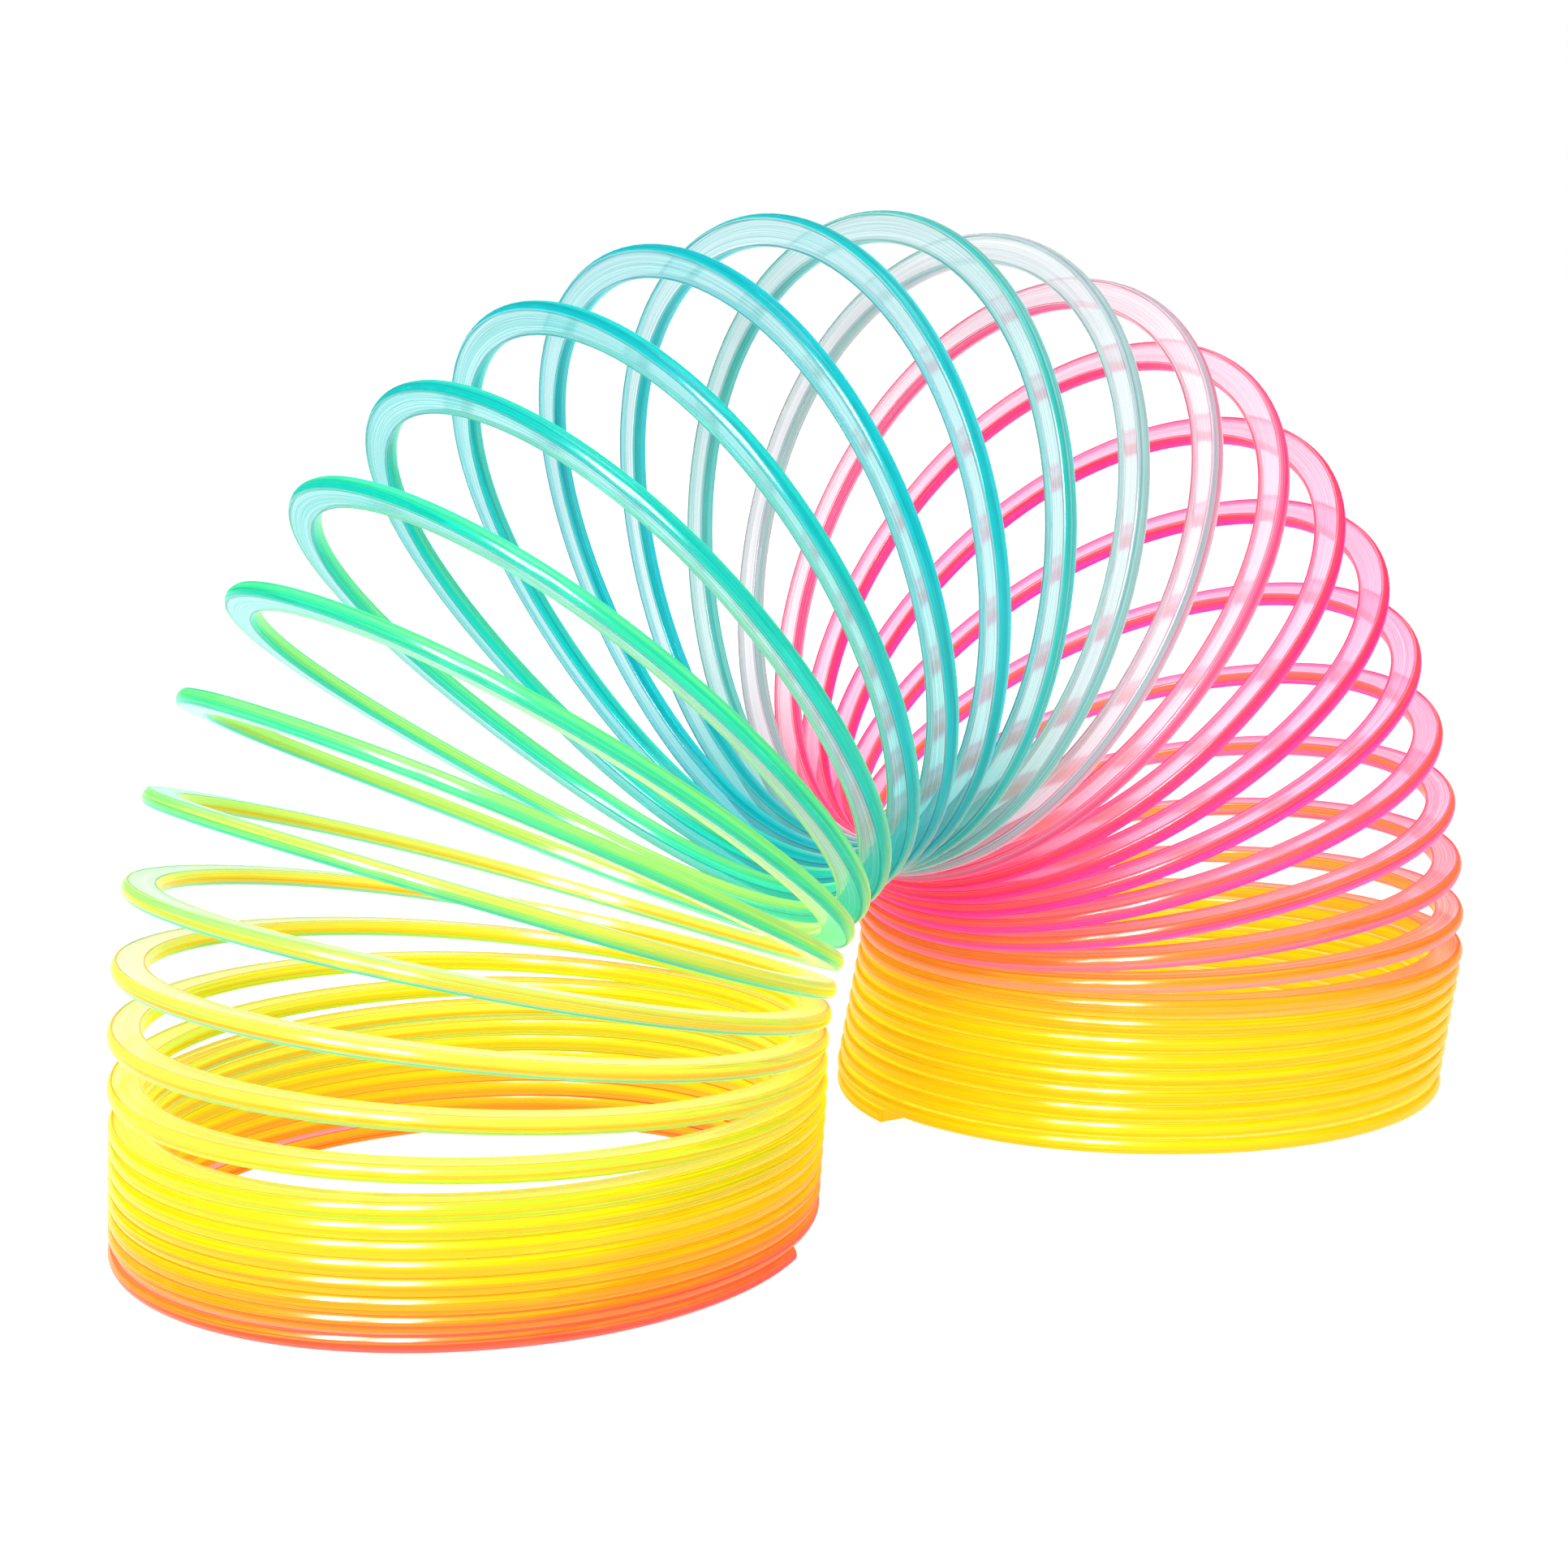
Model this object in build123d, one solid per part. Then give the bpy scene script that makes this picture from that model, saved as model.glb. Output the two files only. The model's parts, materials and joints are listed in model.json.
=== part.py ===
from build123d import *
import os
from math import cos, pi, radians, sin

# A walking spring: one long flat plastic ribbon wound into a left-handed coil.
# It stands as an arch. A closed stack of turns at each end rests on the table,
# and the turns between them fan out over the top.
#
# Frame: +Z up from the table, +X from the left stack to the right stack, and
# the origin on the table at the centre of the left stack. Millimetres, degrees.
#
# Every turn is one solid, cut from its neighbours at its innermost point (the
# seam), where the ribbon twists as the coil opens. A wire angle is counted
# along the ribbon from that seam.

# The ribbon and its coil.
OUTER_DIAMETER = 75.0
RIBBON_WIDTH = 3.6
RIBBON_THICKNESS = 1.75
OUTER_RIM_BULGE = 0.35
INNER_RIM_BULGE = 0.12
CLOSED_PITCH = 1.9
SEAM_GAP = 0.1

# How the turns are shared out along the coil. Each stack counts its base turn.
LEFT_STACK_TURNS = 8
ARCH_TURNS = 23
RIGHT_STACK_TURNS = 9

# The arch bends the coil right over. Its hinges open as a sine of their place
# along it, broader than a plain sine and a little heavier towards the right.
ARCH_BEND = 180.0
ARCH_FULLNESS = 0.8
ARCH_SKEW = 0.2

# The stacks don't stand quite straight: every turn has slid this far, in X and Y,
# against the one before it.
LEFT_STACK_SLIDE = (0.0, -0.27)
ARCH_SLIDE = (0.0, 0.0)
RIGHT_STACK_SLIDE = (-0.48, 0.0)

# A base turn starts with a tip trimmed level with the table, lies level for the
# rest of half a turn, then climbs until it runs with the coil again.
LEFT_TIP_ANGLE = 56.0
RIGHT_TIP_ANGLE = 353.0
TIP_TRIM = 0.3
LEVEL_ARC = 180.0
CLIMB_ARC = 120.0

RIBBON_RADIUS = (OUTER_DIAMETER - RIBBON_WIDTH) / 2
TRIM_ARC = 360 * TIP_TRIM / CLOSED_PITCH
HALF_GAP_ANGLE = 180 * SEAM_GAP / (2 * pi * RIBBON_RADIUS)
FIRST_ANGLE = HALF_GAP_ANGLE
LAST_ANGLE = 360 - HALF_GAP_ANGLE


def rise_at(angle):
    """How far the ribbon of a closed turn has climbed at a wire angle."""
    return CLOSED_PITCH * angle / 360


def ribbon_section():
    """The ribbon cut across: flat faces, a rounded outer rim, a nearly flat inner rim."""
    inner = RIBBON_RADIUS - RIBBON_WIDTH / 2
    outer = RIBBON_RADIUS + RIBBON_WIDTH / 2
    half = RIBBON_THICKNESS / 2
    bottom = Line((inner + INNER_RIM_BULGE, 0, -half), (outer - OUTER_RIM_BULGE, 0, -half))
    outer_rim = ThreePointArc(bottom @ 1, (outer, 0, 0), (outer - OUTER_RIM_BULGE, 0, half))
    top = Line(outer_rim @ 1, (inner + INNER_RIM_BULGE, 0, half))
    inner_rim = ThreePointArc(top @ 1, (inner, 0, 0), bottom @ 0)
    return make_face([bottom, outer_rim, top, inner_rim])


def ribbon_arc(start, end, start_rise, end_rise):
    """A length of ribbon between two wire angles, climbing from one rise to the other."""
    section = ribbon_section()
    climb = end_rise - start_rise
    if abs(climb) < 1e-6:
        arc = revolve(section, Axis.Z, start - end)
    else:
        pitch = climb * 360 / (end - start)
        path = Helix(pitch, climb, RIBBON_RADIUS, lefthand=True)
        arc = sweep(section, path, is_frenet=True)
    return Pos(0, 0, start_rise) * Rot(0, 0, -start) * arc


def middle_turn():
    """One whole turn of the coil between two seams."""
    return ribbon_arc(FIRST_ANGLE, LAST_ANGLE, rise_at(FIRST_ANGLE), rise_at(LAST_ANGLE))


def joined_arcs(stations):
    """The ribbon through a list of (wire angle, rise) stations."""
    pairs = zip(stations, stations[1:])
    return [ribbon_arc(start, end, rise, next_rise) for (start, rise), (end, next_rise) in pairs]


def left_base_turn(level_rise):
    """The coil's first turn: its underside is level with the table from the tip on."""
    level_start = LEFT_TIP_ANGLE + TRIM_ARC
    level_end = LEFT_TIP_ANGLE + LEVEL_ARC
    climb_end = level_end + CLIMB_ARC
    tip = ribbon_arc(LEFT_TIP_ANGLE, level_start, level_rise - TIP_TRIM, level_rise)
    table = Plane((0, 0, level_rise - RIBBON_THICKNESS / 2))
    rest = joined_arcs(
        [
            (level_start, level_rise),
            (level_end, level_rise),
            (climb_end, rise_at(climb_end)),
            (LAST_ANGLE, rise_at(LAST_ANGLE)),
        ]
    )
    return split(tip, table, Keep.TOP).fuse(*rest).clean()


def right_base_turn(level_rise):
    """The coil's last turn, which stops just short of a whole one, level with the table."""
    level_end = RIGHT_TIP_ANGLE - TRIM_ARC
    level_start = RIGHT_TIP_ANGLE - LEVEL_ARC
    climb_start = level_start - CLIMB_ARC
    tip = ribbon_arc(level_end, RIGHT_TIP_ANGLE, level_rise, level_rise + TIP_TRIM)
    table = Plane((0, 0, level_rise + RIBBON_THICKNESS / 2))
    rest = joined_arcs(
        [
            (FIRST_ANGLE, rise_at(FIRST_ANGLE)),
            (climb_start, rise_at(climb_start)),
            (level_start, level_rise),
            (level_end, level_rise),
        ]
    )
    return split(tip, table, Keep.BOTTOM).fuse(*rest).clean()


def opening_angles():
    """How far each arch hinge is open, from left to right; together they make the bend."""
    shares = []
    for hinge in range(1, ARCH_TURNS + 2):
        along = hinge / (ARCH_TURNS + 2)
        skew = 1 + ARCH_SKEW * (2 * along - 1)
        shares.append(sin(pi * along) ** ARCH_FULLNESS * skew)
    return [ARCH_BEND * share / sum(shares) for share in shares]


def seam_openings():
    """How far the coil is open at every seam, closed ones and both ends of the wire included."""
    return [0.0] * LEFT_STACK_TURNS + opening_angles() + [0.0] * RIGHT_STACK_TURNS


def turn_tilts():
    """The tilt of every turn's axis from upright, from the left base to the right base."""
    tilts = []
    tilt = 0.0
    for angle in seam_openings()[:-1]:
        tilt += angle
        tilts.append(tilt)
    return tilts


def seam_points(first_height):
    """Where each turn's ribbon begins: the innermost points of the coil.

    Open turns roll over each other's inner rims, so their seams stand further apart.
    """
    openings = seam_openings()
    slides = [LEFT_STACK_SLIDE] * LEFT_STACK_TURNS
    slides += [ARCH_SLIDE] * ARCH_TURNS
    slides += [RIGHT_STACK_SLIDE] * RIGHT_STACK_TURNS
    seams = [Vector(RIBBON_RADIUS, 0, first_height)]
    for tilt, slide, before, after in zip(turn_tilts(), slides, openings, openings[1:]):
        pitch = CLOSED_PITCH + RIBBON_WIDTH / 2 * sin(radians(max(before, after)))
        climb = Vector(sin(radians(tilt)), 0, cos(radians(tilt))) * pitch
        seams.append(seams[-1] + climb + Vector(*slide, 0))
    return seams


def placed(turn, tilt, seam):
    """Tilt a turn about its seam and put the seam in its place along the coil."""
    return Pos(*seam) * Rot(0, tilt, 0) * Pos(-RIBBON_RADIUS, 0, 0) * turn


def turn_names():
    """What each turn is called, from the left base to the right base."""
    left = [f"left_stack_turn_{i}" for i in range(2, LEFT_STACK_TURNS + 1)]
    arch = [f"arch_turn_{i:02d}" for i in range(1, ARCH_TURNS + 1)]
    right = [f"right_stack_turn_{i}" for i in range(RIGHT_STACK_TURNS, 1, -1)]
    return ["left_base_turn"] + left + arch + right + ["right_base_turn"]


def build_coil():
    """Every turn of the coil in its place, by name."""
    left_level = rise_at(LEFT_TIP_ANGLE + TRIM_ARC)
    tilts = turn_tilts()
    seams = seam_points(RIBBON_THICKNESS / 2 - left_level)
    right_level = seams[len(tilts) - 1].Z - RIBBON_THICKNESS / 2
    middle = middle_turn()
    turns = [left_base_turn(left_level)]
    turns += [middle] * (len(tilts) - 2)
    turns.append(right_base_turn(right_level))
    parts = [placed(turn, tilt, seam) for turn, tilt, seam in zip(turns, tilts, seams)]
    return dict(zip(turn_names(), parts))


os.makedirs("parts", exist_ok=True)
for name, part in build_coil().items():
    export_step(part, f"parts/{name}.step")
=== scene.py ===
import json
from math import atan2, cos, pi, radians, sin

import bpy
import numpy as np
from mathutils import Matrix, Vector

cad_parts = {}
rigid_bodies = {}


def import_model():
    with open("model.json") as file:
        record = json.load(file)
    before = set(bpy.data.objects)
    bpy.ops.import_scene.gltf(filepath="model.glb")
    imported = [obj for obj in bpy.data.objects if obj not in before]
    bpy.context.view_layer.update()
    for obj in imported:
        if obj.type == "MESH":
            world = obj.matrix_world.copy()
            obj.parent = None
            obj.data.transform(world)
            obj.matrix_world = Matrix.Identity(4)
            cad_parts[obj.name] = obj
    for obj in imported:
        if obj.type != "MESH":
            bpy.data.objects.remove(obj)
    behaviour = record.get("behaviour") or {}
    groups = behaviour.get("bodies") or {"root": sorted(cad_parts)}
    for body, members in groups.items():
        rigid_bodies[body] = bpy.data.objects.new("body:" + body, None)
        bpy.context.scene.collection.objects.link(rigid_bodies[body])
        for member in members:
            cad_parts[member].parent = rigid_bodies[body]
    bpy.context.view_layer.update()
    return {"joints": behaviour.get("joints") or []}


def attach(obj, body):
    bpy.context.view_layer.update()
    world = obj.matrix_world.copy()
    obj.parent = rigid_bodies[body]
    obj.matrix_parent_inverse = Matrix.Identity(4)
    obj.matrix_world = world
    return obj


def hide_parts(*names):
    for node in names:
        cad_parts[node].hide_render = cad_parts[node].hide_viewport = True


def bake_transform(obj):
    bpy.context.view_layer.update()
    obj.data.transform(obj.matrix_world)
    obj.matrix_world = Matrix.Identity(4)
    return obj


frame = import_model()

# A walking spring: one strip of translucent plastic wound into forty turns. Each
# turn of the CAD frame is shown as two half turns of ribbon, so that the strip can
# twist smoothly at its innermost points (the seams), where the hinges are.
# Lengths are in metres. A wire angle is counted along the ribbon from a seam.
MM = 0.001
RIBBON_WIDTH = 3.6 * MM
RIBBON_THICKNESS = 1.75 * MM
OUTER_RIM_BULGE = 0.35 * MM
INNER_RIM_BULGE = 0.12 * MM
CORNER_ROUND = 0.16 * MM
CLOSED_PITCH = 1.9 * MM
RIGHT_STACK_TURNS = 9

LEFT_TIP_ANGLE = 56.0
RIGHT_TIP_ANGLE = 353.0
TIP_TRIM = 0.3 * MM
TRIM_ARC = 360 * TIP_TRIM / CLOSED_PITCH
LEVEL_ARC = 180.0
CLIMB_ARC = 120.0
STATIONS_PER_TURN = 112

HALF_WIDTH = RIBBON_WIDTH / 2
HALF_THICKNESS = RIBBON_THICKNESS / 2
FRONT = np.array([0.0, -1.0, 0.0])


# ---- Where the turns are -------------------------------------------------------------

joints = frame["joints"]
turns = [joints[0]["parent"]] + [joint["child"] for joint in joints]
TURNS = len(turns)


def seam_points():
    """The innermost points of the coil: every hinge, and the two ends of the wire."""
    hinges = [np.array(joint["pos_m"], float) for joint in joints]
    first = 2 * hinges[0] - hinges[1]
    last = 2 * hinges[-1] - hinges[-2]
    return [first] + hinges + [last]


def turn_tilts(seams):
    """The tilt of each turn's axis from upright. The right stack hangs straight down."""
    tilts = []
    for turn in range(TURNS):
        across, _, up = seams[turn + 1] - seams[turn]
        stacked = turn >= TURNS - RIGHT_STACK_TURNS
        tilts.append(pi if stacked else atan2(across, up))
    return tilts


seams = seam_points()
tilts = turn_tilts(seams)
RIBBON_RADIUS = seams[0][0]


def smooth(x):
    x = np.clip(x, 0, 1)
    return x * x * (3 - 2 * x)


def ribbon_rise(turn, angles):
    """How far the ribbon has climbed along its turn's axis at each wire angle."""
    if turn == 0:
        level = HALF_THICKNESS - seams[0][2]
        level_end = LEFT_TIP_ANGLE + LEVEL_ARC
        climb_end = level_end + CLIMB_ARC
        at = [LEFT_TIP_ANGLE, LEFT_TIP_ANGLE + TRIM_ARC, level_end, climb_end, 360]
        rises = [level - TIP_TRIM, level, level, CLOSED_PITCH * climb_end / 360, CLOSED_PITCH]
        return np.interp(angles, at, rises)
    if turn == TURNS - 1:
        level = seams[turn][2] - HALF_THICKNESS
        level_start = RIGHT_TIP_ANGLE - LEVEL_ARC
        climb_start = level_start - CLIMB_ARC
        at = [0, climb_start, level_start, RIGHT_TIP_ANGLE - TRIM_ARC, RIGHT_TIP_ANGLE]
        rises = [0, CLOSED_PITCH * climb_start / 360, level, level, level + TIP_TRIM]
        return np.interp(angles, at, rises)
    return (seams[turn + 1] - seams[turn]) @ turn_axis(turn) * angles / 360


def turn_axis(turn):
    return np.array([sin(tilts[turn]), 0, cos(tilts[turn])])


def ribbon_points(turn, angles, section, front):
    """The ribbon's surface: a row for each wire angle, a column for each section point."""
    axis = turn_axis(turn)
    outward = np.array([-axis[2], 0, axis[0]])
    step = seams[turn + 1] - seams[turn]
    slide = (step - step @ axis * axis) * (turn < TURNS - 1)
    wire = np.radians(angles)[:, None, None]
    radius = RIBBON_RADIUS + section[None, :, 0, None]
    height = ribbon_rise(turn, angles)[:, None, None] + section[None, :, 1, None]
    points = seams[turn] + (RIBBON_RADIUS - radius * np.cos(wire)) * outward
    points = points + radius * np.sin(wire) * FRONT + height * axis + slide * wire / (2 * pi)
    return twisted(points, turn, angles, front)


def twisted(points, turn, angles, front):
    """Twist a turn's halves about its seams, half way to each neighbour at the seam itself."""
    before, after = max(turn - 1, 0), min(turn + 1, TURNS - 1)
    arm = (1 - np.cos(np.radians(angles))) / 4
    if front:
        pivot = seams[turn]
        turned = -(1 - smooth(0.5 + arm)) * (tilts[turn] - tilts[before])
    else:
        pivot = seams[turn + 1]
        turned = smooth(0.5 - arm) * (tilts[after] - tilts[turn])
    c, s = np.cos(turned)[:, None], np.sin(turned)[:, None]
    x, z = points[..., 0] - pivot[0], points[..., 2] - pivot[2]
    moved = points.copy()
    moved[..., 0] = pivot[0] + c * x + s * z
    moved[..., 2] = pivot[2] - s * x + c * z
    return moved


# ---- The ribbon's section ------------------------------------------------------------

def rim_arc(side, bulge, steps):
    """Points of a rim from its lower corner to its upper one; side is 1 outside, -1 inside."""
    edge = HALF_WIDTH - bulge
    heights = np.linspace(-HALF_THICKNESS, HALF_THICKNESS, steps)
    reach = edge + bulge * (1 - (heights / HALF_THICKNESS) ** 2)
    return [Vector((side * r, h)) for r, h in zip(reach, heights)]


def rounded_corner(before, corner, after, steps=4):
    """A corner of the section softened by a short curve."""
    a = corner + (before - corner).normalized() * CORNER_ROUND
    b = corner + (after - corner).normalized() * CORNER_ROUND
    shares = [i / (steps - 1) for i in range(steps)]
    return [a * (1 - t) ** 2 + corner * 2 * t * (1 - t) + b * t * t for t in shares]


def ribbon_section():
    """The ribbon cut across, as (distance from its middle outwards, height) points in a ring."""
    outer = rim_arc(1, OUTER_RIM_BULGE, 9)
    inner = rim_arc(-1, INNER_RIM_BULGE, 7)[::-1]
    support = CORNER_ROUND * 2
    outline = []
    for rim, other in ((outer, inner), (inner, outer)):
        flat_in = (other[-1] - rim[0]).normalized()
        flat_out = (other[0] - rim[-1]).normalized()
        outline.append(rim[0] + flat_in * support)
        outline += rounded_corner(rim[0] + flat_in, rim[0], rim[1])
        outline += rim[2:-2]
        outline += rounded_corner(rim[-2], rim[-1], rim[-1] + flat_out)
        outline.append(rim[-1] + flat_out * support)
        outline.append((rim[-1] + other[0]) / 2)
    return np.array([tuple(p) for p in outline])


SECTION = ribbon_section()


# ---- Building the half turns ---------------------------------------------------------

def section_normals():
    """The outward direction at each point of the section."""
    edges = np.roll(SECTION, -1, 0) - SECTION
    outward = np.stack([edges[:, 1], -edges[:, 0]], 1)
    outward /= np.linalg.norm(outward, axis=1)[:, None]
    normals = outward + np.roll(outward, 1, 0)
    return normals / np.linalg.norm(normals, axis=1)[:, None]


def surface_normals(turn, angles, front):
    """The ribbon surface's normals, laid out like its points, so that lengths join unseen."""
    small = 0.01 * MM
    here = ribbon_points(turn, angles, SECTION, front)
    raised = ribbon_points(turn, angles, SECTION + section_normals() * small, front)
    along = ribbon_points(turn, angles + 0.05, SECTION, front) - here
    along /= np.linalg.norm(along, axis=2)[..., None]
    normals = (raised - here) / small
    normals -= np.sum(normals * along, axis=2)[..., None] * along
    normals[here[..., 2] < 0] = (0, 0, -1)
    return normals / np.linalg.norm(normals, axis=2)[..., None]


def half_turn(name, turn, start, end, front, materials, ends_shown):
    """A closed length of ribbon. An end cut only for the joint gets an unseen cap."""
    count = round((end - start) / 360 * STATIONS_PER_TURN)
    angles = np.linspace(start, end, count + 1)
    grid = ribbon_points(turn, angles, SECTION, front)
    normals = surface_normals(turn, angles, front).reshape(-1, 3)
    grid[..., 2] = np.maximum(grid[..., 2], 0)
    rows, columns = grid.shape[:2]
    i, j = np.meshgrid(np.arange(rows - 1), np.arange(columns), indexing="ij")
    here, beside = i * columns + j, i * columns + (j + 1) % columns
    faces = np.stack([here, beside, beside + columns, here + columns], -1).reshape(-1, 4).tolist()
    caps = [list(range(columns))[::-1], list(range((rows - 1) * columns, rows * columns))]
    mesh = bpy.data.meshes.new(name)
    mesh.from_pydata(grid.reshape(-1, 3).tolist(), [], faces + caps)
    for material in materials:
        mesh.materials.append(material)
    wire = np.repeat(turn + angles / 360, columns)
    across = np.tile(SECTION[:, 0] / HALF_WIDTH, rows)
    side = np.tile(SECTION[:, 1] / HALF_THICKNESS, rows)
    place = mesh.attributes.new("ribbon", "FLOAT_VECTOR", "POINT")
    place.data.foreach_set("vector", np.stack([wire, across, side], 1).ravel())
    corner_normals = normals[np.array(faces).ravel()].tolist()
    for cap, shown in zip(mesh.polygons[-2:], ends_shown):
        cap.material_index = 0 if shown else 1
        corner_normals += [tuple(cap.normal)] * columns
    mesh.polygons.foreach_set("use_smooth", [True] * len(mesh.polygons))
    mesh.normals_split_custom_set(corner_normals)
    piece = bpy.data.objects.new(name, mesh)
    bpy.context.scene.collection.objects.link(piece)
    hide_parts(turns[turn])
    return piece


def far_point(turn):
    """The middle of the ribbon at the point of a turn farthest from the seams."""
    return Vector(ribbon_points(turn, np.array([180.0]), np.zeros((1, 2)), True)[0, 0])


def build_coil(materials):
    """Both halves of every turn, twisted towards the neighbouring turns at the seams. Only the first half
    of the first turn and the last half of the last turn are attached to their turns; the others keep
    their places in the world.
    """
    for turn, name in enumerate(turns):
        far = far_point(turn)
        start = LEFT_TIP_ANGLE if turn == 0 else 0
        end = RIGHT_TIP_ANGLE if turn == TURNS - 1 else 360
        last = turn == TURNS - 1
        front = half_turn(name + ".front", turn, start, 180, True, materials, (turn == 0, False))
        back = half_turn(name + ".back", turn, 180, end, False, materials, (False, last))
        if turn == 0:
            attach(front, name)
        else:
            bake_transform(front)
        if last:
            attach(back, name)
        else:
            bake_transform(back)


# ---- Materials -----------------------------------------------------------------------

def linear(colour):
    """An sRGB colour written as a hex string, as linear RGBA."""
    parts = [int(colour[i : i + 2], 16) / 255 for i in (0, 2, 4)]
    return [p / 12.92 if p <= 0.04045 else ((p + 0.055) / 1.055) ** 2.4 for p in parts] + [1]


class Nodes:
    """A short way to write a material's node tree."""

    def __init__(self, material):
        material.use_nodes = True
        self.tree = material.node_tree
        self.tree.nodes.clear()

    def add(self, kind, inputs=(), **settings):
        node = self.tree.nodes.new(kind)
        for key, value in settings.items():
            setattr(node, key, value)
        for key, value in dict(inputs).items():
            if isinstance(value, bpy.types.NodeSocket):
                self.tree.links.new(value, node.inputs[key])
            else:
                node.inputs[key].default_value = value
        return node

    def math(self, operation, a, b=0.0, clamp=False):
        node = self.add("ShaderNodeMath", {0: a, 1: b}, operation=operation, use_clamp=clamp)
        return node.outputs[0]

    def step(self, value, low, high):
        """0 below low and 1 above high, smooth between; low may be above high."""
        node = self.add(
            "ShaderNodeMapRange",
            {"Value": value, "From Min": low, "From Max": high},
            interpolation_type="SMOOTHSTEP",
        )
        return node.outputs[0]

    def range(self, value, low, high, to_low, to_high):
        node = self.add(
            "ShaderNodeMapRange",
            {"Value": value, "From Min": low, "From Max": high, "To Min": to_low, "To Max": to_high},
        )
        return node.outputs[0]

    def noise(self, place, stretch, detail):
        """Noise that is stretched along the strip; stretch is per turn, half width, half thickness."""
        scaled = self.add("ShaderNodeVectorMath", {0: place, 1: stretch}, operation="MULTIPLY")
        inputs = {"Vector": scaled.outputs[0], "Scale": 1.0, "Detail": detail}
        return self.add("ShaderNodeTexNoise", inputs).outputs[0]

    def shaded(self, colour, shade):
        grey = self.add("ShaderNodeCombineXYZ", {0: shade, 1: shade, 2: shade})
        return self.mix(1.0, colour, grey.outputs[0], "MULTIPLY")

    def mix(self, share, a, b, blend="MIX"):
        node = self.add(
            "ShaderNodeMix", {0: share, 6: a, 7: b}, data_type="RGBA", blend_type=blend
        )
        return node.outputs[2]

    def ramp(self, value, stops):
        """A colour ramp over the wire; stops are (turn, hex colour) pairs."""
        node = self.add("ShaderNodeValToRGB", {0: value})
        ramp = node.color_ramp
        while len(ramp.elements) < len(stops):
            ramp.elements.new(0.5)
        for element, (turn, colour) in zip(ramp.elements, stops):
            element.position = turn / TURNS
            element.color = linear(colour)
        return node.outputs[0]


# The colours that come out of the strip along its forty turns: through its flat faces,
# and at the bottom, middle and top of its rims. Stops are (turn, colour) pairs.
# The hue along the wire is the strip's own rainbow. The rims' deeper colours are partly
# painted light, standing in for light carried along the strip, and the change between
# their bottom, middle and top is painted reflection.
FLAT_STOPS = [
    (0, "f88c98"), (1, "fca660"), (2.5, "fecc28"), (5, "fedc18"), (7, "fae830"), (8.2, "f6f058"),
    (9.2, "f0f484"), (10.2, "eaf0b0"), (11.2, "daf0cc"), (12.5, "b4ead4"), (14, "80d2cc"),
    (16, "6ccacc"), (17.2, "84d2d4"), (19, "b0d8dc"), (20.5, "c0dadc"), (21.7, "dcdee2"),
    (22.7, "f4dce6"), (23.7, "fecce0"), (25, "febada"), (27, "feaed4"), (29, "fea6c4"),
    (30.5, "fea09c"), (31.7, "fea470"), (33, "fec830"), (34.5, "fed818"), (40, "fedc18"),
]
RIM_LOW_STOPS = [
    (0, "fe6488"), (0.7, "fe8c40"), (1.7, "feae10"), (2.7, "feb800"), (4, "fec400"), (5.5, "f6d400"),
    (6.7, "d8e800"), (8, "b8f020"), (9, "98ec98"), (10.3, "5ce4cc"), (12, "1cd4bc"), (14, "00ccb8"),
    (18, "00bcc4"), (19.8, "00b8b0"), (20.9, "58b8b0"), (21.9, "b0b8c0"), (22.7, "e494b0"),
    (23.5, "f84c84"), (24.5, "fe4468"), (26.5, "fe5c50"), (29, "fe8a30"), (31, "fea028"),
    (32.5, "febe08"), (34, "fece00"), (40, "fed200"),
]
RIM_CORE_STOPS = [
    (0, "fe5a48"), (0.7, "fe7830"), (1.7, "fe9810"), (2.7, "feac00"), (4, "febc00"), (6, "fece00"),
    (8, "fecc00"), (9.3, "feb408"), (10.5, "fcc418"), (11.4, "bcdc40"), (12.5, "50e08c"),
    (14.5, "08caa8"), (17, "00b4bc"), (19, "00acb4"), (20.2, "38b4a8"), (21.3, "a0ccc8"),
    (22.2, "d0a4b4"), (23, "ec4880"), (24.5, "fe3078"), (26.5, "fe4088"), (28.5, "fe5c80"),
    (30, "fe8450"), (31.5, "fea034"), (32.8, "fec60c"), (34, "fedc00"), (40, "fee000"),
]
RIM_HIGH_STOPS = [
    (0, "fe7440"), (0.7, "fe9e28"), (1.7, "fec002"), (2.7, "fed000"), (4, "f8de00"), (6, "eae600"),
    (7.5, "e4ec28"), (9, "eef060"), (10.5, "f0ee58"), (11.6, "c8f070"), (12.8, "88f08c"),
    (14.5, "48e0a8"), (17, "20ced0"), (19, "18ccd6"), (20.5, "68ccc0"), (21.5, "b0ccc8"),
    (22.3, "e4b8c8"), (23.2, "fe5898"), (25, "fe30a4"), (27, "fe34b8"), (29.3, "fe54c0"),
    (30.8, "fe88bc"), (32, "fea868"), (33, "feca10"), (34.5, "fed400"), (40, "fed400"),
]


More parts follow.
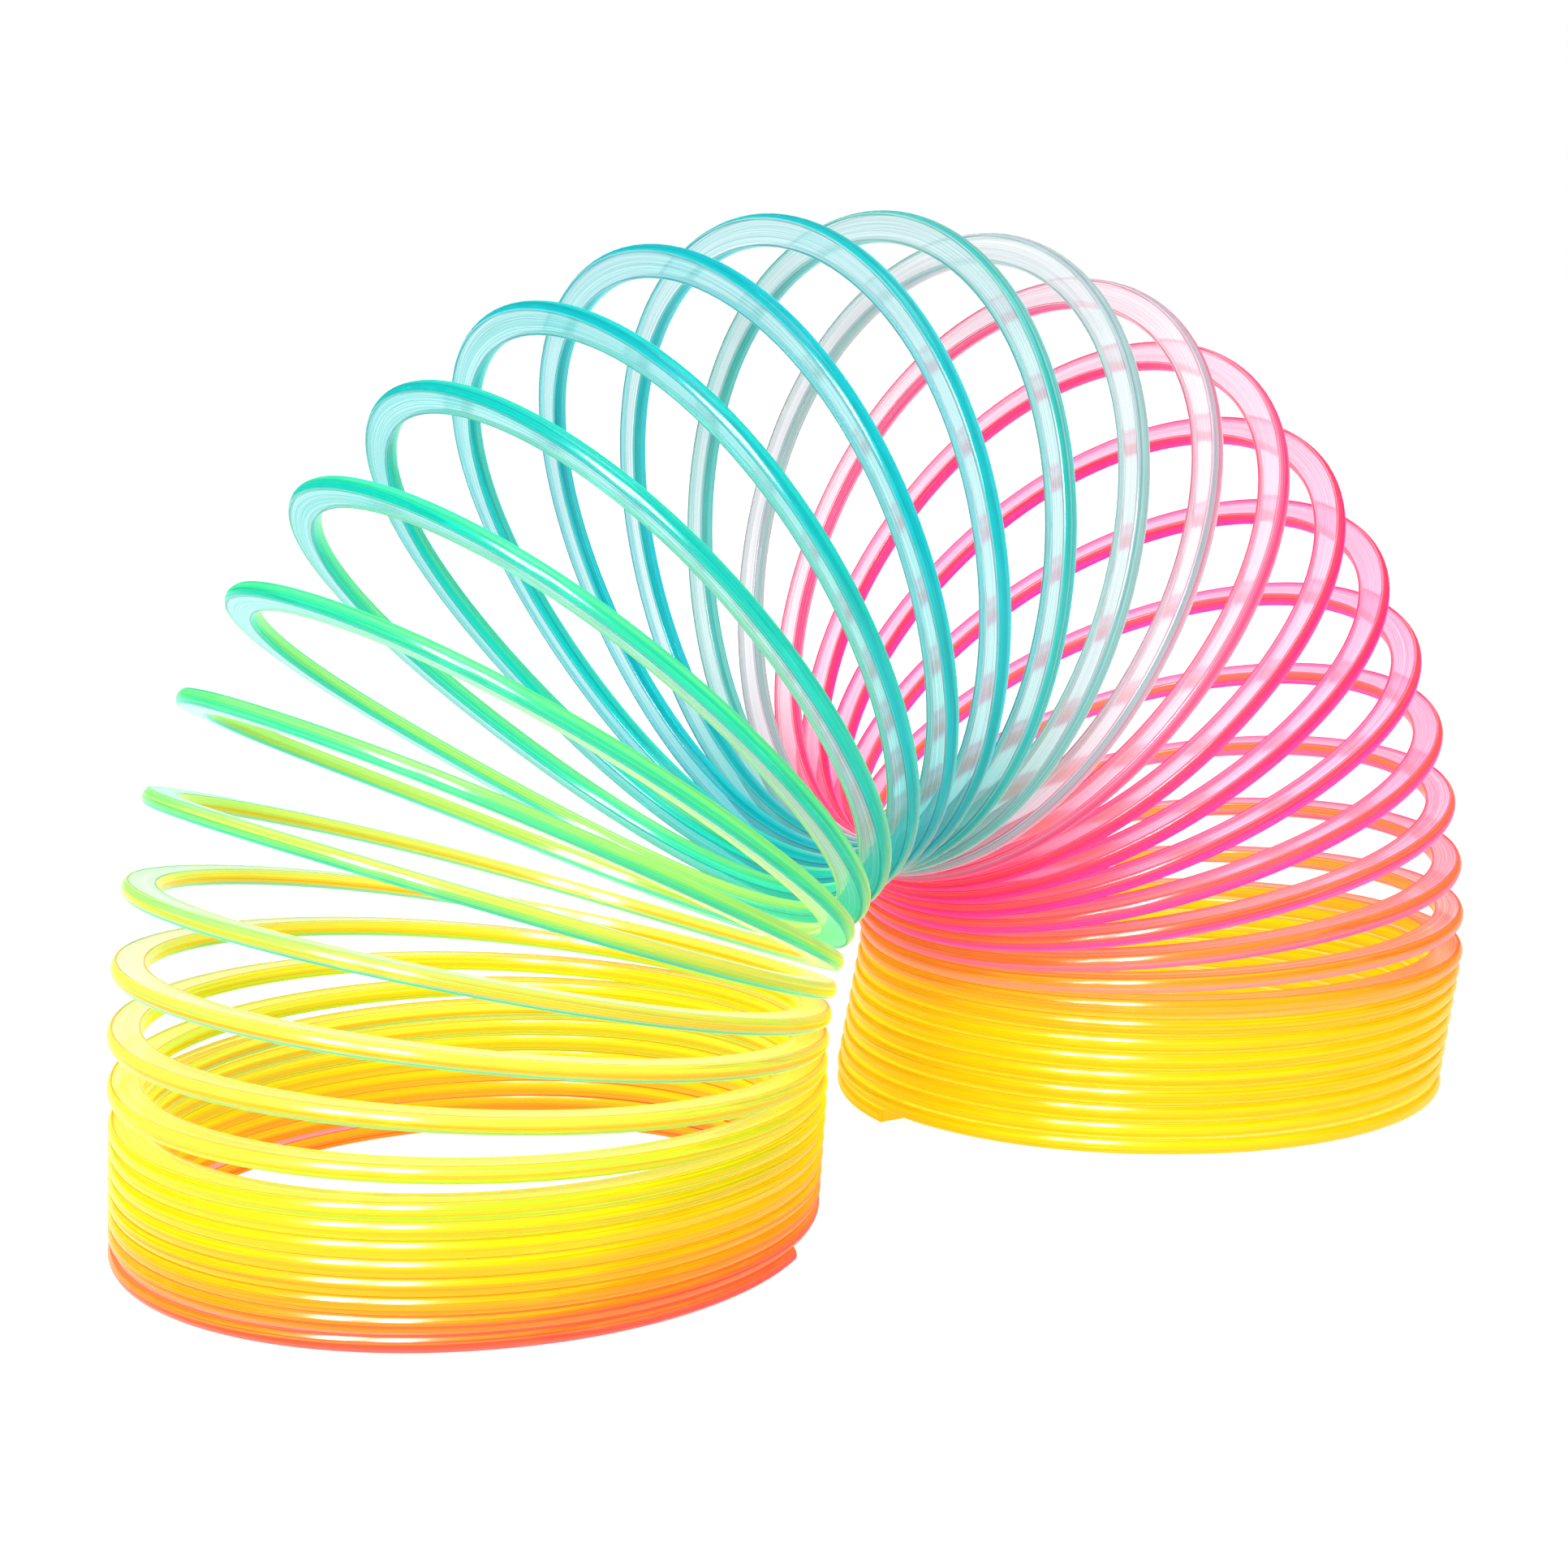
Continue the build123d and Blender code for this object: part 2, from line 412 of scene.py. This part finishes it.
def plastic():
    """Clear rainbow plastic: pale see-through flats, saturated rims, fine streak lines along the strip.

    Painted light and shade on top of the strip's own hue: the rims' deeper, banded colours,
    lighter and darker streak lines, white glint lines on the flats, dark lines beside the rims,
    deeper colour near the seams, hue borrowed from nearby turns, and an emission glow.
    """
    material = bpy.data.materials.new("rainbow_plastic")
    n = Nodes(material)
    place = n.add("ShaderNodeAttribute", attribute_name="ribbon").outputs["Vector"]
    split = n.add("ShaderNodeSeparateXYZ", {0: place}).outputs
    wire, across, side = split[0], split[1], split[2]
    along = n.math("DIVIDE", wire, TURNS)

    # Painted light and shade: fine lighter and darker streak lines along the strip, laid on the rims and
    # flats below.
    light_and_shade_streaks = n.noise(place, (3, 14, 9), 3)
    lines = n.noise(place, (1.4, 5, 4), 2)
    painted_glints = n.noise(place, (1.5, 22, 1), 2)
    clouds = n.noise(place, (7, 0.5, 0.5), 2)
    outer = n.step(across, 0.74, 0.84)
    inner = n.step(across, -0.88, -0.95)
    on_rim = n.math("MAXIMUM", outer, inner)

    near_seam = n.range(n.math("COSINE", n.math("MULTIPLY", wire, 2 * pi)), -1, 1, 0, 1)
    in_stack = n.step(n.math("ABSOLUTE", n.math("SUBTRACT", along, 0.5)), 0.25, 0.32)
    inner_arch = n.math("MULTIPLY", inner, n.math("SUBTRACT", 1, in_stack))
    towards_end = n.range(along, 0.4, 0.7, -1, 1)
    # Painted colour of nearby turns: near the seams and on the arch's inner rims the hue shifts towards
    # the ends, standing in for neighbouring turns seen through and reflected in the plastic.
    reach = n.math("ADD", n.math("MULTIPLY", near_seam, 0.03), n.math("MULTIPLY", inner_arch, 0.05))
    shift = n.math("MULTIPLY", towards_end, reach)
    shift = n.math("ADD", shift, n.math("MULTIPLY", n.math("MULTIPLY", inner, in_stack), 0.06))
    shift = n.math("ADD", shift, n.math("MULTIPLY", n.math("SUBTRACT", clouds, 0.5), 0.02))
    stray = n.range(on_rim, 0, 1, 0.03, 0.13)
    shift = n.math("ADD", shift, n.math("MULTIPLY", n.math("SUBTRACT", lines, 0.5), stray))
    hue = n.math("ADD", along, shift)

    flat = n.ramp(hue, FLAT_STOPS)
    low = n.ramp(hue, RIM_LOW_STOPS)
    core = n.ramp(hue, RIM_CORE_STOPS)
    high = n.ramp(hue, RIM_HIGH_STOPS)
    # Painted reflection: the rim changes colour from its bottom (low) through its middle (core) to its
    # top (high).
    rim = n.mix(n.step(side, -0.8, -0.3), low, core)
    rim = n.mix(n.step(side, -0.15, 0.35), rim, high)

    # Painted light and shade streak lines on the rims, above and below their colour.
    rim = n.shaded(rim, n.range(light_and_shade_streaks, 0.3, 0.7, 0.72, 1.14))
    # Painted shade: dark lines just inside both rims, where refraction makes the edges of the plastic
    # look dark.
    outer_shade_line = n.math("MULTIPLY", n.step(across, 0.62, 0.70), n.step(across, 0.80, 0.74))
    inner_shade_line = n.math("MULTIPLY", n.step(across, -0.76, -0.82), n.step(across, -0.92, -0.87))
    shade_lines = n.math("MULTIPLY", n.math("ADD", outer_shade_line, inner_shade_line), 0.75)
    # Painted depth of colour: near the seams the flats take on the rim colour, where bunched turns are
    # seen through one another.
    painted_seam_depth = n.math("MULTIPLY", n.step(near_seam, 0.65, 0.95), 0.65)
    # Painted highlights: thin white glint lines on the flats.
    flat = n.mix(n.range(painted_glints, 0.48, 0.7, 0, 0.8), flat, (1, 1, 1, 1))
    # Painted light and shade streak lines on the flats.
    flat = n.shaded(flat, n.range(light_and_shade_streaks, 0.3, 0.7, 0.84, 1.05))
    # The painted shade lines use a darker copy of the rim colour (edge); the painted seam depth is mixed
    # in first.
    edge = n.add("ShaderNodeGamma", {0: core, 1: 1.8}).outputs[0]
    flat = n.mix(shade_lines, n.mix(painted_seam_depth, flat, core), edge)
    # The rims get deeper colours than the flats: partly the strip's own hue, partly painted light carried
    # along the strip.
    colour = n.mix(on_rim, flat, rim)

    depth = n.add("ShaderNodeLightPath").outputs["Ray Depth"]
    strength = n.range(depth, 1, 4, 0.5, 0.15)
    faded = n.add("ShaderNodeGamma", {0: n.mix(0.004, colour, (1, 1, 1, 1)), 1: strength})
    inputs = {"Color": faded.outputs[0], "Roughness": 0.06, "IOR": 1.45}
    entering = n.add("ShaderNodeBsdfRefraction", inputs).outputs[0]
    leaving = n.add("ShaderNodeBsdfGlass", inputs).outputs[0]
    inside = n.add("ShaderNodeNewGeometry").outputs["Backfacing"]
    glass = n.add("ShaderNodeMixShader", {0: inside, 1: entering, 2: leaving})

    dimmed = n.mix(0.5, colour, (0, 0, 0, 1))
    diffuse = n.add("ShaderNodeBsdfDiffuse", {"Color": dimmed})
    through = n.add("ShaderNodeBsdfTranslucent", {"Color": dimmed})
    body = n.add("ShaderNodeMixShader", {0: 0.5, 1: diffuse.outputs[0], 2: through.outputs[0]})
    # Painted light: the plastic glows with its own colour, though it is no lamp, which brightens the
    # shaded grooves between turns.
    glow = n.add("ShaderNodeEmission", {"Color": colour, "Strength": 0.65})
    lit = n.add("ShaderNodeAddShader", {0: body.outputs[0], 1: glow.outputs[0]})
    milky = n.range(on_rim, 0, 1, 0.3, 0.5)
    mixed = n.add("ShaderNodeMixShader", {0: milky, 1: glass.outputs[0], 2: lit.outputs[0]})

    fresnel = n.add("ShaderNodeFresnel", {"IOR": 1.45}).outputs[0]
    polish = n.math("MULTIPLY", fresnel, n.math("SUBTRACT", 1, inside))
    gloss = n.add("ShaderNodeBsdfGlossy", {"Color": n.shaded((1, 1, 1, 1), polish), "Roughness": 0.2})
    final = n.add("ShaderNodeAddShader", {0: mixed.outputs[0], 1: gloss.outputs[0]})
    n.add("ShaderNodeOutputMaterial", {"Surface": final.outputs[0]})
    return material


def unseen():
    """The caps inside the strip, where one length of ribbon carries on into the next."""
    material = bpy.data.materials.new("unseen_cap")
    n = Nodes(material)
    clear = n.add("ShaderNodeBsdfTransparent", {"Color": (1, 1, 1, 1)})
    n.add("ShaderNodeOutputMaterial", {"Surface": clear.outputs[0]})
    return material


# ---- Stage, lights and camera --------------------------------------------------------

REFLECTED_ROOM = 0.04


def room_strength(n, seen):
    """How bright the white room is: as seen directly, but much darker in reflections."""
    path = n.add("ShaderNodeLightPath").outputs
    reflected = n.math("MULTIPLY", path["Is Glossy Ray"], path["Is Reflection Ray"])
    return n.range(reflected, 0, 1, seen, seen * REFLECTED_ROOM)


def floor():
    mesh = bpy.data.meshes.new("floor")
    far = 6.0
    mesh.from_pydata([(-far, -far, 0), (far, -far, 0), (far, far, 0), (-far, far, 0)], [], [(0, 1, 2, 3)])
    material = bpy.data.materials.new("floor")
    n = Nodes(material)
    paper = n.add("ShaderNodeBsdfDiffuse", {"Color": (0.3, 0.3, 0.3, 1)})
    glow = n.add("ShaderNodeEmission", {"Color": (1, 1, 1, 1), "Strength": room_strength(n, 0.9)})
    lit = n.add("ShaderNodeAddShader", {0: paper.outputs[0], 1: glow.outputs[0]})
    n.add("ShaderNodeOutputMaterial", {"Surface": lit.outputs[0]})
    mesh.materials.append(material)
    piece = bpy.data.objects.new("floor", mesh)
    piece.location.z = -0.0002
    bpy.context.scene.collection.objects.link(piece)


def direction(azimuth, elevation):
    """The unit vector from the object towards a viewer at that azimuth and elevation."""
    a, e = radians(azimuth), radians(elevation)
    return Vector((sin(a) * cos(e), -cos(a) * cos(e), sin(e)))


def softbox(name, azimuth, elevation, distance, width, height, power):
    light = bpy.data.lights.new(name, "AREA")
    light.shape = "RECTANGLE"
    light.size, light.size_y = width, height
    light.energy = power
    lamp = bpy.data.objects.new(name, light)
    away = direction(azimuth, elevation)
    lamp.location = Vector((0.05, 0, 0.05)) + away * distance
    lamp.rotation_euler = away.to_track_quat("Z", "Y").to_euler()
    bpy.context.scene.collection.objects.link(lamp)


def studio():
    world = bpy.data.worlds.new("studio")
    bpy.context.scene.world = world
    n = Nodes(world)
    sky = n.add("ShaderNodeBackground", {"Color": (1, 1, 1, 1), "Strength": room_strength(n, 1.0)})
    n.add("ShaderNodeOutputWorld", {"Surface": sky.outputs[0]})
    softbox("window_left", -73, 25, 0.9, 0.14, 0.4, 12)
    softbox("window_right", -54, 25, 0.9, 0.14, 0.4, 12)
    softbox("top", -40, 75, 1.0, 0.5, 0.5, 2)


def camera():
    azimuth, elevation, distance, roll = -35.96, 8.40, 0.3203, radians(-0.98)
    back = direction(azimuth, elevation)
    right = Vector((cos(radians(azimuth)), sin(radians(azimuth)), 0))
    up = back.cross(right)
    turned_right = right * cos(roll) + up * sin(roll)
    turned_up = up * cos(roll) - right * sin(roll)
    data = bpy.data.cameras.new("camera")
    data.lens = 64.56
    data.shift_x = -0.0147
    data.shift_y = -0.0406
    data.clip_start = 0.01
    eye = bpy.data.objects.new("camera", data)
    rotation = Matrix((turned_right, turned_up, back)).transposed()
    eye.matrix_world = Matrix.Translation(Vector((0.046, 0, 0.05)) + back * distance) @ rotation.to_4x4()
    bpy.context.scene.collection.objects.link(eye)
    bpy.context.scene.camera = eye


build_coil([plastic(), unseen()])
floor()
studio()
camera()
scene = bpy.context.scene
scene.view_settings.view_transform = "Standard"
scene.cycles.max_bounces = 32
scene.cycles.transmission_bounces = 32
scene.cycles.glossy_bounces = 16
scene.cycles.transparent_max_bounces = 48

bpy.context.view_layer.update()
